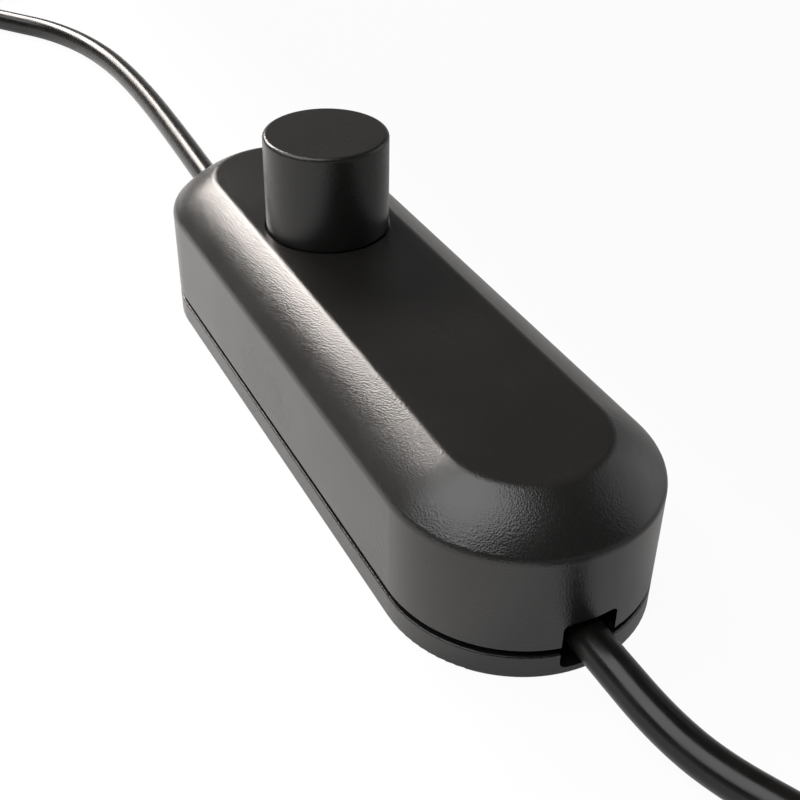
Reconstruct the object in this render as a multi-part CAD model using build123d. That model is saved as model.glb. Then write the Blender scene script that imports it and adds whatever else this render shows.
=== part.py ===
from build123d import *
from math import atan2, pi, radians, tan
import os

# In-line lamp dimmer: a long two-part case on a lamp lead, with a push-and-turn knob.
# +X runs along the case towards the knob's end, +Z is up, and the case stands on z = 0.

# Case
case_length = 126.0
case_width = 40.0
case_height = 26.7          # flat top
chamfer_base = 20.7         # where the upright wall ends
chamfer_inset = 8.0         # how far the chamfer leans in
chamfer_crown = 0.5         # how far its middle bulges
wall_edge_round = 1.8
top_edge_round = 2.2
base_edge_round = 0.3
wall = 2.4
roof_thick = 2.4
floor_thick = 2.0
roof_ribs = 3
roof_rib_thick = 1.2
roof_rib_depth = 1.6
roof_rib_pitch = 20.0
roof_rib_start = 15.5       # nearest rib, from the encoder's axis

# Seam between the lower cover and the upper housing
cover_height = 3.9          # outer wall of the lower cover
seam_gap = 1.1
tongue_thick = 1.2
tongue_rise = 3.2
seam_fit = 0.1              # tongue to skirt
tongue_top_gap = 0.2
seam_edge_round = 0.25

# Cord and the openings that it leaves through
cord_diameter = 5.5
cord_height = 5.3           # centre of the cord in the opening
opening_width = 8.4
opening_base = 1.2
opening_top = 9.25
opening_corner = 1.1

# Screws that join the two halves, from below
case_screw_inset = 16.0     # from the case's end
case_screw_side_gap = 3.0   # between a post and the side wall
case_screw_head = 2.3
case_screw_shank = 1.25
case_screw_length = 11.0
case_screw_head_thick = 1.7
counterbore_depth = 2.4
cover_post_radius = 3.6
cover_post_top = 4.6
upper_boss_radius = 2.9
boss_joint_gap = 0.05
boss_web_thick = 1.0

# What all screws share
screw_head_room = 0.3
screw_hole_room = 0.15
screw_tip_gap = 0.4
thread_fit = 0.03
cross_arm_share = 0.62      # of the head's radius
cross_slot_share = 0.13     # of the head's radius
cross_depth_share = 0.6     # of the head's thickness
head_round_share = 0.45     # of the head's thickness
cutter_over = 1.0           # how far a cutter runs past a face

# Boards
board_thick = 1.6
board_end_gap = 1.4         # to the posts of the case screws
board_side_gap = 2.1        # to the side wall
power_board_corner = 2.0
power_board_height = 5.0    # underside
board_screw_inset = 3.5     # from both edges
board_post_radius = 2.6
board_screw_shank = 1.0
board_screw_head = 1.9
board_screw_head_thick = 1.3
control_board_back = 19.0   # from the encoder's axis
control_board_front = 10.0  # from the encoder's axis
control_board_setback = 2.5 # from the power board's side
spacer_radius = 1.8
spacer_end_inset = 2.4
spacer_gap = 0.45           # to the header's end
header_pin_side = 0.64
header_pitch = 2.54
header_pins_count = 5
header_strip_width = 2.5
header_strip_height = 2.5
header_inset = 2.5          # from the control board's end

# Rotary encoder with push switch
encoder_x = 21.5
encoder_side = 12.0
encoder_body_height = 6.0
encoder_plate_thick = 1.0
encoder_wall = 1.0
shaft_radius = 3.0
shaft_fit = 0.05
shaft_stand_out = 14.3      # above the flat top
shaft_flat = 1.5            # flat, from the axis
shaft_flat_rise = 4.3       # where the flat starts, above the flat top
bushing_wall = 0.45
bushing_stand_out = 2.7     # above the flat top
bushing_hole_room = 0.15
bushing_edge = 0.35
rotor_gap = 0.6             # round the rotor
rotor_top_gap = 0.4
rotor_thick = 1.2
press_travel = 0.5
plunger_radius = 2.2
plunger_thick = 2.0
plunger_gap = 0.1
dome_gap = 0.05
dome_radius = 2.8
dome_thick = 0.15
washer_width = 1.7
washer_thick = 0.4
nut_wall = 1.5
nut_thick = 2.0
nut_sides = 6

# Knob, and the shallow recess of the case that it sinks into
knob_radius = 10.45
knob_stand_out = 16.6       # above the flat top
knob_recess_depth = 1.1
knob_recess_room = 0.35
knob_floor_gap = 0.3        # left over the recess's floor when pressed
knob_wall = 1.6
knob_roof = 2.0
knob_top_round = 0.7
knob_base_round = 0.5
hub_wall = 1.8
hub_gap = 1.4               # over the bushing
knob_ribs = 6
knob_rib_thick = 1.0
knob_rib_rise = 2.2         # above the hub's foot
knob_rib_root = 0.5         # runs into the hub
knob_rib_bite = 0.3         # runs into the wall
knob_fit = 0.03

# Terminal blocks and the stripped cores
terminal_depth = 8.0
terminal_side_wall = 1.3
terminal_height = 9.0
terminal_pitch = 5.0
terminal_inset = 1.5        # from the board's end
terminal_edge = 1.0
entry_room = 0.6
entry_end_room = 1.0        # behind the core's tip
entry_height = 3.0          # centre, above the board
terminal_screw_radius = 1.7
terminal_screw_thick = 1.6
terminal_screw_sink = 0.6
terminal_slot_width = 0.5
terminal_slot_depth = 0.6
terminal_well_room = 0.15
core_radius = 1.1
core_gap = 0.15             # between the two cores, halved
core_depth = 2.5            # into the terminal
core_bend = 1.8
core_sheath_run = 2.5       # straight out of the sheath
core_terminal_run = 2.6     # straight in front of the terminal
sheath_inside = 5.0         # from the clamp's middle to the sheath's end

# Cord clamps
clamp_inset = 9.0           # from the case's end
clamp_length = 17.4
clamp_width = 6.5
clamp_base = 7.0
clamp_top = 10.0
clamp_corner = 1.5
clamp_screw_y = 6.4
clamp_screw_head = 2.1
clamp_screw_shank = 1.2
clamp_screw_head_thick = 1.5
clamp_boss_radius = 2.3
saddle_thick = 1.0
saddle_spacing = 3.0
saddle_top = 4.2
saddle_room = 0.05

# Parts on the power board, each beside the one before it
lead_radius = 0.35
lead_rise = 1.0             # leads show this much under a part
lead_spacing = 5.0
fuse_radius = 4.2
fuse_height = 8.0
fuse_top_round = 0.8
fuse_gap = 0.7              # to the supply terminal
fuse_side_gap = 2.3         # to the board's side
varistor_radius = 5.0
varistor_thick = 4.2
varistor_round = 1.4
varistor_lead_end = 3.5     # below the disc's centre
varistor_gap = 1.0          # to the supply terminal
varistor_side_gap = 5.9     # to the board's side
box_edge_round = 0.5
film_size = (6.0, 13.0, 11.5)
film_gap = 0.8              # to the varistor
film_y = -4.5
can_radius = 4.0
can_height = 12.0
can_top_round = 0.7
can_gap = 1.2               # to the film capacitor
can_side_gap = 2.5          # to the board's side
crimp_base = 1.4
crimp_height = 0.8
crimp_depth = 0.5
vent_length = 4.0
vent_width = 0.3
vent_depth = 0.3
drum_radius = 5.0
drum_height = 8.0
drum_flange = 1.2
drum_waist = 2.4
choke_gap = 1.0             # to the film capacitor
choke_side_gap = 0.7        # to the transistor
winding_radius = 4.4
winding_end_gap = 0.05
winding_ridges = 8
winding_groove_depth = 0.2
winding_groove_share = 0.4  # of a ridge's pitch
transistor_size = (10.0, 4.4, 9.0)
transistor_rise = 2.5
transistor_edge = 0.6
leg_pitch = 2.54
leg_width = 0.8
leg_thick = 0.6
spreader_size = (22.0, 1.5, 12.0)
spreader_foot = 4.0
spreader_gap = 0.4          # to the fuse
spreader_edge_gap = 0.4     # to the board's side
module_size = (17.0, 13.0, 6.4)
module_back = 5.0           # behind the encoder's axis
radio_size = (9.6, 18.0, 0.8)
radio_gap = 1.1             # to the encoder
shield_size = (8.0, 11.0, 1.8)
shield_wall = 0.3
shield_corner = 0.5
shield_shift = -2.5         # leaves the module's aerial end bare

# Mains plug on the supply cord: flat, with two round pins
plug_width = 35.3
plug_thick = 13.7
plug_body_length = 27.0
plug_face_length = 9.0      # straight part behind the face
plug_back_width = 15.0
plug_back_thick = 11.0
plug_corner = 3.2
plug_face_round = 1.2
neck_length = 16.0
neck_back_radius = 4.9
neck_tip_radius = 3.9
neck_grooves = 4
neck_groove_pitch = 2.9
neck_groove_width = 1.2
neck_groove_depth = 0.7
pin_radius = 2.0
pin_length = 19.0
pin_spacing = 19.0
pin_tip_round = 1.4
pin_root = 6.0              # held inside the body
sleeve_length = 10.0
sleeve_radius = 1.8
sleeve_wall = 0.35

# Folded lengths of cord, laid flat as long loops with a tie round the middle
hank_layers = 2
hank_corner = 1.6
supply_hank_near = (-128.0, 1.5)
supply_hank_run = 72.0
supply_hank_inner = 16.5    # fold radius of the inner column of turns
supply_hank_columns = 2
lamp_hank_near = (266.8, 3.5)
lamp_hank_run = 33.0
lamp_hank_inner = 17.0
lamp_hank_columns = 1
tie_thick = 0.8
tie_width = 4.0
tie_corner = 2.0
tie_room = 0.05
supply_tie_x = -158.0
lamp_tie_x = 295.0

# Bare end of the lamp cord, on the upper turn of its hank
lamp_sheath_x = 290.5
bare_core_length = 15.0
wire_level_run = 4.0
wire_spread_run = 5.0
ferrule_radius = 1.3
ferrule_length = 9.0
ferrule_edge = 0.3
ferrule_collar_wall = 0.6
ferrule_collar_length = 3.5
ferrule_gap = 0.2           # between the two collars, halved
ferrule_rise = 0.15         # over the turn below
ferrule_room = 2.0          # beyond the tips

# Cord routes, from inside the case outwards
supply_route = [
    (-49, 0, 5.3),
    (-58, 0, 5.3),
    (-68.5, 0, 5.25),
    (-77.5, -0.95, 3.9),
    (-85.5, -3.25, 2.75),
    (-95, -7.6, 2.75),
    (-104.5, -12.5, 2.75),
    (-113.5, -16.4, 2.75),
]
lamp_route = [
    (49, 0, 5.3),
    (58, 0, 5.3),
    (69, -0.2, 5.0),
    (80, -1.3, 3.2),
    (93, -2.3, 2.75),
    (116, -3.3, 2.75),
    (141, -4.05, 2.75),
    (159, -3.8, 2.75),
    (173, -2.8, 2.75),
    (185, -0.8, 2.75),
    (196, 2.5, 2.75),
    (206, 7.2, 2.75),
    (215, 13.8, 2.75),
    (224, 20.2, 2.75),
    (234.5, 23.7, 2.75),
    (245.5, 23.4, 2.75),
    (256, 21.5, 2.75),
]
supply_tail_route = [
    (-133, 23.5, 13.8),
    (-122, 23.5, 13.8),
    (-112.7, 17.6, 13.8),
    (-108, 7.6, 13.8),
    (-109.4, -3.4, 13.8),
    (-116.4, -11.9, 13.8),
    (-127, -15.3, 13.9),
    (-137.6, -12.5, 14.7),
    (-145, -4.6, 16.3),
    (-154.5, -0.5, 17.85),
    (-163, -0.5, 17.85),
]
arc_share = 0.45            # of the shorter run, taken up by each arc of a cord

# Places in the case that follow
half_length = case_length / 2
half_width = case_width / 2
arc_centre = half_length - half_width
chamfer_turn = atan2(chamfer_inset, case_height - chamfer_base)
top_turn = pi / 2 - chamfer_turn
roof_under = case_height - roof_thick
inner_half = half_width - wall
inner_chamfer_base = chamfer_base - wall * tan(chamfer_turn / 2)
inner_chamfer_top = half_width - chamfer_inset - roof_thick * tan(top_turn / 2)
upper_base = cover_height + seam_gap
tongue_top = cover_height + tongue_rise
tongue_outer = inner_half + tongue_thick
rebate_top = tongue_top + tongue_top_gap
recess_floor = case_height - knob_recess_depth
case_screw_x = half_length - case_screw_inset
case_screw_y = inner_half - case_screw_side_gap - cover_post_radius
clamp_x = half_length - clamp_inset
sheath_end = clamp_x - sheath_inside

# Heights and places on the boards that follow
power_board_half_length = case_screw_x - cover_post_radius - board_end_gap
power_board_half_width = inner_half - board_side_gap
board_top = power_board_height + board_thick
board_screw_x = power_board_half_length - board_screw_inset
board_screw_y = power_board_half_width - board_screw_inset
encoder_top = roof_under - encoder_plate_thick
control_top = encoder_top - encoder_body_height
control_base = control_top - board_thick
control_board_start = encoder_x - control_board_back
control_board_end = encoder_x + control_board_front
control_board_half_width = power_board_half_width - control_board_setback
header_half_length = header_pins_count * header_pitch / 2
spacer_y = header_half_length + spacer_gap + spacer_radius
core_offset = core_radius + core_gap
entry_side = 2 * core_radius + entry_room
terminal_width = terminal_pitch + entry_side + 2 * terminal_side_wall
terminal_outer = power_board_half_length - terminal_inset
terminal_inner = terminal_outer - terminal_depth
fuse_x = -terminal_inner + fuse_gap + fuse_radius
fuse_y = power_board_half_width - fuse_side_gap - fuse_radius
varistor_x = -terminal_inner + varistor_gap + varistor_radius
varistor_y = varistor_side_gap + varistor_thick / 2 - power_board_half_width
film_x = varistor_x + varistor_radius + film_gap + film_size[0] / 2
can_x = film_x + film_size[0] / 2 + can_gap + can_radius
can_y = can_side_gap + can_radius - power_board_half_width
spreader_x = fuse_x + fuse_radius + spreader_gap + spreader_size[0] / 2
spreader_y = power_board_half_width - spreader_edge_gap - spreader_size[1]
choke_x = film_x + film_size[0] / 2 + choke_gap + drum_radius
choke_y = spreader_y - transistor_size[1] - choke_side_gap - drum_radius
radio_x = encoder_x - encoder_side / 2 - radio_gap - radio_size[0] / 2

# Heights and sizes of the encoder and the knob that follow
bushing_radius = shaft_radius + shaft_fit + bushing_wall
bushing_top = case_height + bushing_stand_out
shaft_top = case_height + shaft_stand_out
shaft_flat_start = case_height + shaft_flat_rise
rotor_radius = encoder_side / 2 - encoder_wall - rotor_gap
rotor_top = encoder_top - rotor_top_gap
rotor_base = rotor_top - rotor_thick
plunger_top = rotor_base - plunger_gap
encoder_floor = control_top + encoder_wall
dome_top = plunger_top - plunger_thick - dome_gap
washer_radius = bushing_radius + washer_width
knob_base = recess_floor + press_travel + knob_floor_gap
knob_top = case_height + knob_stand_out
hub_radius = shaft_radius + hub_wall
hub_start = bushing_top + hub_gap

# Sizes and places along the cords that follow
cord_radius = cord_diameter / 2
hank_height = hank_layers * cord_diameter
plug_axis_height = hank_height + plug_thick / 2
plug_face_x = neck_length + plug_body_length
pin_waist = sleeve_radius - sleeve_wall
ferrule_collar = core_radius + ferrule_collar_wall
ferrule_spread = ferrule_collar + ferrule_gap
ferrule_height = cord_diameter + ferrule_rise + ferrule_collar


def cylinder(radius, base, top, x=0.0, y=0.0):
    """Upright cylinder between two heights."""
    return Pos(x, y, base) * Cylinder(radius, top - base, align=(Align.CENTER, Align.CENTER, Align.MIN))


def block(x0, x1, y0, y1, z0, z1):
    """Box between two corners."""
    size = Box(x1 - x0, y1 - y0, z1 - z0)
    return Pos((x0 + x1) / 2, (y0 + y1) / 2, (z0 + z1) / 2) * size


def block_at(x, y, half_x, half_y, z0, z1):
    """Box round an upright axis."""
    return block(x - half_x, x + half_x, y - half_y, y + half_y, z0, z1)


def rounded_section(points, rounds, crowns):
    """Flat section: rounds gives {corner: radius}, crowns gives {first corner of a side: bulge}."""
    corners = [Vector(*point, 0) for point in points]
    sides = []
    for number, start in enumerate(corners):
        end = corners[(number + 1) % len(corners)]
        if number in crowns:
            sides.append(SagittaArc(start, end, -crowns[number]))
        else:
            sides.append(Line(start, end))
    section = make_face(sides)
    for number, radius in rounds.items():
        nearest = section.vertices().sort_by_distance(corners[number])[0]
        section = fillet(nearest, radius)
    return section


def round_ended(section):
    """Body with a straight middle and round ends, from its half section beside the centre line."""
    both_sides = section + mirror(section, about=Plane.YZ)
    middle = Pos(-arc_centre, 0, 0) * extrude(Plane.YZ * both_sides, 2 * arc_centre)
    end = revolve(Plane.XZ * section, Axis.Z)
    return middle + Pos(arc_centre, 0, 0) * end + Pos(-arc_centre, 0, 0) * end


def four_corners(x, y):
    """The four places at plus and minus x and y."""
    return [(sx * x, sy * y) for sx in (-1, 1) for sy in (-1, 1)]


def cord_openings():
    """Way with rounded corners through each end wall, shared by the two halves of the case."""
    section = RectangleRounded(opening_width, opening_top - opening_base, opening_corner)
    start = arc_centre + inner_half - wall
    depth = half_length - start + cutter_over
    middle = (opening_base + opening_top) / 2
    cut = extrude(Plane.YZ.offset(start) * Pos(0, middle) * section, depth)
    return cut + mirror(cut, about=Plane.YZ)


def cross_recess(radius, depth, top, x, y):
    """Cross for a screwdriver, sunk into a head from above."""
    arm = radius * cross_arm_share
    slot = radius * cross_slot_share
    along = block_at(x, y, arm, slot, top - depth, top + cutter_over)
    return along + block_at(x, y, slot, arm, top - depth, top + cutter_over)


def pan_screw(head, head_thick, shank, length, seat, x, y):
    """Pan-head screw whose head sits on a seat, pointing down."""
    top = seat + head_thick
    dome = cylinder(head, seat, top, x, y)
    dome = fillet(dome.edges().group_by(Axis.Z)[-1], head_thick * head_round_share)
    body = dome + cylinder(shank, seat - length, seat, x, y)
    return body - cross_recess(head, head_thick * cross_depth_share, top, x, y)


def upper_housing():
    """Moulded shell: chamfered all round, with ribs, screw bosses and the knob's recess."""
    outer = rounded_section(
        [
            (0, upper_base),
            (half_width, upper_base),
            (half_width, chamfer_base),
            (half_width - chamfer_inset, case_height),
            (0, case_height),
        ],
        {1: seam_edge_round, 2: wall_edge_round, 3: top_edge_round},
        {2: chamfer_crown},
    )
    inner = Polygon(
        (0, upper_base - cutter_over),
        (inner_half, upper_base - cutter_over),
        (inner_half, inner_chamfer_base),
        (inner_chamfer_top, roof_under),
        (0, roof_under),
        align=None,
    )
    skirt_inner = tongue_outer + seam_fit
    rebate = Polygon(
        (0, upper_base - cutter_over),
        (skirt_inner, upper_base - cutter_over),
        (skirt_inner, rebate_top),
        (0, rebate_top),
        align=None,
    )
    whole = round_ended(outer)
    shell = whole - round_ended(inner) - round_ended(rebate) + roof_rib_set()
    boss_base = cover_post_top + boss_joint_gap
    for x, y in four_corners(case_screw_x, case_screw_y):
        boss = cylinder(upper_boss_radius, boss_base, roof_under, x, y)
        wall_side = inner_half if y > 0 else -inner_half
        half = boss_web_thick / 2
        web = block(x - half, x + half, min(y, wall_side), max(y, wall_side), rebate_top, roof_under)
        pilot = cylinder(case_screw_shank + thread_fit, boss_base, boss_base + case_screw_length, x, y)
        shell = shell + boss + (web & whole) - pilot
    recess = cylinder(knob_radius + knob_recess_room, recess_floor, case_height + cutter_over, encoder_x)
    hole = cylinder(
        bushing_radius + bushing_hole_room, roof_under - cutter_over, case_height, encoder_x
    )
    return shell - recess - hole - cord_openings()


def roof_rib_set():
    """Stiffening ribs across the underside of the roof."""
    ribs = []
    for k in range(roof_ribs):
        x = encoder_x - roof_rib_start - k * roof_rib_pitch
        base = roof_under - roof_rib_depth
        rib = block_at(x, 0, roof_rib_thick / 2, inner_chamfer_top, base, roof_under)
        ribs.append(rib)
    return ribs


def lower_cover():
    """Shallow tray with a tongue into the shell, posts for the board, screws and cord clamps."""
    outer = rounded_section(
        [
            (0, 0),
            (half_width, 0),
            (half_width, cover_height),
            (tongue_outer, cover_height),
            (tongue_outer, tongue_top),
            (0, tongue_top),
        ],
        {1: base_edge_round, 2: seam_edge_round},
        {},
    )
    inner = Polygon(
        (0, floor_thick),
        (inner_half, floor_thick),
        (inner_half, tongue_top + cutter_over),
        (0, tongue_top + cutter_over),
        align=None,
    )
    tray = round_ended(outer) - round_ended(inner)
    for x, y in four_corners(case_screw_x, case_screw_y):
        post = cylinder(cover_post_radius, floor_thick, cover_post_top, x, y)
        bore = cylinder(case_screw_shank + screw_hole_room, 0, cover_post_top, x, y)
        counterbore = cylinder(case_screw_head + screw_head_room, 0, counterbore_depth, x, y)
        tray = tray + post - bore - counterbore
    for x, y in four_corners(board_screw_x, board_screw_y):
        post = cylinder(board_post_radius, floor_thick, power_board_height, x, y)
        pilot = cylinder(board_screw_shank + thread_fit, floor_thick, power_board_height, x, y)
        tray = tray + post - pilot
    for x, y in four_corners(clamp_x, clamp_screw_y):
        tray += cylinder(clamp_boss_radius, floor_thick, clamp_base, x, y)
    tray = tray + cord_saddles()
    for x, y in four_corners(clamp_x, clamp_screw_y):
        tray -= cylinder(clamp_screw_shank + thread_fit, floor_thick, clamp_base, x, y)
    return tray - cord_openings()


def cord_saddles():
    """Pairs of ribs that cradle the sheath under each clamp."""
    cradle = Pos(0, 0, cord_height) * Rot(0, 90, 0) * Cylinder(cord_radius + saddle_room, case_length)
    ribs = []
    for side in (-1, 1):
        for place in (-0.5, 0.5):
            x = side * clamp_x + place * saddle_spacing
            rib = block_at(x, 0, saddle_thick / 2, clamp_screw_y, floor_thick, saddle_top)
            ribs.append(rib - cradle)
    return ribs


def case_screws():
    """Four screws in counterbores of the cover, into the shell's bosses."""
    screws = [
        Rot(180, 0, 0)
        * pan_screw(
            case_screw_head,
            case_screw_head_thick,
            case_screw_shank,
            case_screw_length,
            -counterbore_depth,
            x,
            y,
        )
        for x, y in four_corners(case_screw_x, case_screw_y)
    ]
    return Compound(children=screws)


def power_board():
    """Lower board with holes for its screws."""
    outline = RectangleRounded(2 * power_board_half_length, 2 * power_board_half_width, power_board_corner)
    board = extrude(Pos(0, 0, power_board_height) * outline, board_thick)
    for x, y in four_corners(board_screw_x, board_screw_y):
        board -= cylinder(board_screw_shank + screw_hole_room, power_board_height, board_top, x, y)
    return board


def board_screws():
    """Four screws that hold the power board on the cover's posts."""
    length = board_top - floor_thick - screw_tip_gap
    screws = [
        pan_screw(board_screw_head, board_screw_head_thick, board_screw_shank, length, board_top, x, y)
        for x, y in four_corners(board_screw_x, board_screw_y)
    ]
    return Compound(children=screws)


def control_board():
    """Upper board that carries the encoder and the radio module."""
    return block(
        control_board_start,
        control_board_end,
        -control_board_half_width,
        control_board_half_width,
        control_base,
        control_top,
    )


def board_spacers():
    """Four pillars that carry the control board over the power board."""
    pillars = [
        cylinder(spacer_radius, board_top, control_base, x, side * spacer_y)
        for x in (control_board_start + spacer_end_inset, control_board_end - spacer_end_inset)
        for side in (-1, 1)
    ]
    return Compound(children=pillars)


def header_places():
    """Places of the pins of the header between the boards."""
    middle = (header_pins_count - 1) / 2
    x = control_board_start + header_inset
    return [(x, (k - middle) * header_pitch) for k in range(header_pins_count)]


def header_pins():
    """Square pins from the power board up to the control board."""
    half = header_pin_side / 2
    pins = [block_at(x, y, half, half, board_top, control_base) for x, y in header_places()]
    return Compound(children=pins)


def header_strip():
    """Plastic strip round the header's pins."""
    x = header_places()[0][0]
    top = board_top + header_strip_height
    strip = block_at(x, 0, header_strip_width / 2, header_half_length, board_top, top)
    hole = header_pin_side / 2 + thread_fit
    for pin_x, pin_y in header_places():
        strip -= block_at(pin_x, pin_y, hole, hole, board_top, top)
    return strip


def encoder_body():
    """Square plastic body of the encoder, open at the top under its plate."""
    half = encoder_side / 2
    body = block_at(encoder_x, 0, half, half, control_top, encoder_top)
    return body - cylinder(half - encoder_wall, encoder_floor, encoder_top, encoder_x)


def encoder_bushing():
    """Metal plate with the threaded bushing that guides the shaft."""
    half = encoder_side / 2
    plate = block_at(encoder_x, 0, half, half, encoder_top, roof_under)
    neck = cylinder(bushing_radius, roof_under, bushing_top, encoder_x)
    neck = chamfer(neck.edges().group_by(Axis.Z)[-1], bushing_edge)
    return plate + neck - cylinder(shaft_radius + shaft_fit, encoder_top, bushing_top, encoder_x)


def encoder_washer():
    """Flat washer on the recess's floor, inside the knob."""
    top = recess_floor + washer_thick
    ring = cylinder(washer_radius, recess_floor, top, encoder_x)
    return ring - cylinder(bushing_radius + bushing_hole_room, recess_floor, top, encoder_x)


def encoder_nut():
    """Hexagon nut that clamps the bushing to the case."""
    base = recess_floor + washer_thick
    outline = RegularPolygon(bushing_radius + nut_wall, nut_sides, major_radius=False)
    nut = extrude(Pos(encoder_x, 0, base) * outline, nut_thick)
    return nut - cylinder(bushing_radius + thread_fit, base, base + nut_thick, encoder_x)


def shaft_solid(radius, base, top, flat):
    """Round shaft with a flat on its upper length."""
    rod = cylinder(radius, base, top, encoder_x)
    return rod - block(encoder_x + flat, encoder_x + 2 * radius, -radius, radius, shaft_flat_start, top)


def encoder_shaft():
    """Shaft with the rotor disc on its foot."""
    rod = shaft_solid(shaft_radius, rotor_base, shaft_top, shaft_flat)
    return rod + cylinder(rotor_radius, rotor_base, rotor_top, encoder_x)


def switch_plunger():
    """Slider under the shaft that works the push switch."""
    return cylinder(plunger_radius, plunger_top - plunger_thick, plunger_top, encoder_x)


def switch_dome():
    """Thin sprung dome that the plunger snaps down."""
    rise = dome_top - encoder_floor
    sphere_radius = (dome_radius**2 + rise**2) / (2 * rise)
    centre = Pos(encoder_x, 0, dome_top - sphere_radius)
    skin = centre * Sphere(sphere_radius) - centre * Sphere(sphere_radius - dome_thick)
    return skin & cylinder(dome_radius + cutter_over, encoder_floor, dome_top + cutter_over, encoder_x)


def knob():
    """Hollow cap with a hub that grips the shaft, and ribs between hub and wall."""
    cap = cylinder(knob_radius, knob_base, knob_top, encoder_x)
    cap = fillet(cap.edges().group_by(Axis.Z)[-1], knob_top_round)
    cap = fillet(cap.edges().group_by(Axis.Z)[0], knob_base_round)
    roof = knob_top - knob_roof
    cap -= cylinder(knob_radius - knob_wall, knob_base, roof, encoder_x)
    cap += cylinder(hub_radius, hub_start, roof, encoder_x)
    inner = hub_radius - knob_rib_root
    outer = knob_radius - knob_wall + knob_rib_bite
    half = knob_rib_thick / 2
    for k in range(knob_ribs):
        rib = block(inner, outer, -half, half, hub_start + knob_rib_rise, roof)
        cap += Pos(encoder_x, 0, 0) * Rot(0, 0, 360 / knob_ribs * (k + 0.5)) * rib
    bore_end = shaft_top + knob_fit
    return cap - shaft_solid(shaft_radius + knob_fit, hub_start, bore_end, shaft_flat + knob_fit)


def terminal_block(side):
    """Two-pole screw terminal at one end of the power board."""
    middle = side * (terminal_outer + terminal_inner) / 2
    top = board_top + terminal_height
    body = block_at(middle, 0, terminal_depth / 2, terminal_width / 2, board_top, top)
    body = chamfer(body.edges().filter_by(Axis.Y).group_by(Axis.Z)[-1], terminal_edge)
    height = board_top + entry_height
    half = entry_side / 2
    entry_half_depth = (core_depth + entry_end_room + cutter_over) / 2
    entry_x = side * (terminal_outer + cutter_over - entry_half_depth)
    well = terminal_screw_radius + terminal_well_room
    well_base = top - terminal_screw_sink - terminal_screw_thick
    for y in (-terminal_pitch / 2, terminal_pitch / 2):
        body -= block_at(entry_x, y, entry_half_depth, half, height - half, height + half)
        body -= cylinder(well, well_base, top, middle, y)
    return body


def terminal_screws():
    """Slotted wire screws of both terminal blocks."""
    top = board_top + terminal_height - terminal_screw_sink
    screws = []
    for x, y in four_corners((terminal_outer + terminal_inner) / 2, terminal_pitch / 2):
        screw = cylinder(terminal_screw_radius, top - terminal_screw_thick, top, x, y)
        half_slot = terminal_slot_width / 2
        slot_base = top - terminal_slot_depth
        slot = block_at(x, y, terminal_screw_radius + cutter_over, half_slot, slot_base, top)
        screws.append(screw - slot)
    return Compound(children=screws)


def tube(points, radius, bends):
    """Round tube along straight runs joined by tangent arcs."""
    path = FilletPolyline(*points, radius=bends)
    start = Plane(origin=path @ 0, z_dir=path % 0)
    return sweep(start * Circle(radius), path=path)


def stripped_cores(side):
    """Two cores from the stripped sheath up into the terminal block."""
    height = board_top + entry_height
    cores = []
    for way in (-1, 1):
        points = [
            (side * sheath_end, way * core_offset, cord_height),
            (side * (sheath_end - core_sheath_run), way * core_offset, cord_height),
            (side * (terminal_outer + core_terminal_run), way * terminal_pitch / 2, height),
            (side * (terminal_outer - core_depth), way * terminal_pitch / 2, height),
        ]
        cores.append(tube(points, core_radius, [core_bend, core_bend]))
    return Compound(children=cores)


def cord_clamp(side):
    """Bar screwed down over the sheath."""
    outline = RectangleRounded(clamp_width, clamp_length, clamp_corner)
    bar = extrude(Pos(side * clamp_x, 0, clamp_base) * outline, clamp_top - clamp_base)
    groove = Pos(side * clamp_x, 0, cord_height) * Rot(0, 90, 0)
    bar -= groove * Cylinder(cord_radius + saddle_room, clamp_width + cutter_over)
    for y in (-clamp_screw_y, clamp_screw_y):
        bar -= cylinder(clamp_screw_shank + screw_hole_room, clamp_base, clamp_top, side * clamp_x, y)
    return bar


def clamp_screws():
    """Two screws on each cord clamp."""
    length = clamp_top - floor_thick - screw_tip_gap
    screws = [
        pan_screw(clamp_screw_head, clamp_screw_head_thick, clamp_screw_shank, length, clamp_top, x, y)
        for x, y in four_corners(clamp_x, clamp_screw_y)
    ]
    return Compound(children=screws)


def two_leads(x, y, top):
    """Pair of tinned leads from the board up to a part."""
    half = lead_spacing / 2
    return [cylinder(lead_radius, board_top, top, x + step, y) for step in (-half, half)]


def fuse():
    """Small round fuse on two leads."""
    base = board_top + lead_rise
    can = cylinder(fuse_radius, base, base + fuse_height, fuse_x, fuse_y)
    can = fillet(can.edges().group_by(Axis.Z)[-1], fuse_top_round)
    return can + two_leads(fuse_x, fuse_y, base)


def varistor():
    """Coated disc that stands on two leads."""
    centre = board_top + lead_rise + varistor_radius
    disc = Pos(varistor_x, varistor_y, centre) * Rot(90, 0, 0) * Cylinder(varistor_radius, varistor_thick)
    disc = fillet(disc.edges(), varistor_round)
    return disc + two_leads(varistor_x, varistor_y, centre - varistor_lead_end)


def standing_block(x, y, size):
    """Boxed part that stands on the power board."""
    length, width, height = size
    body = block_at(x, y, length / 2, width / 2, board_top, board_top + height)
    return fillet(body.edges().filter_by(Axis.Z) + body.edges().group_by(Axis.Z)[-1], box_edge_round)


def electrolytic_capacitor():
    """Round can with a crimped waist and a scored vent on its top."""
    top = board_top + can_height
    can = cylinder(can_radius, board_top, top, can_x, can_y)
    can = fillet(can.edges().group_by(Axis.Z)[-1], can_top_round)
    low = board_top + crimp_base
    high = low + crimp_height
    waist = cylinder(can_radius - crimp_depth, low, high, can_x, can_y)
    can -= cylinder(can_radius + cutter_over, low, high, can_x, can_y) - waist
    long = vent_length / 2
    thin = vent_width / 2
    can -= block_at(can_x, can_y, long, thin, top - vent_depth, top)
    return can - block_at(can_x, can_y, thin, long, top - vent_depth, top)


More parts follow.
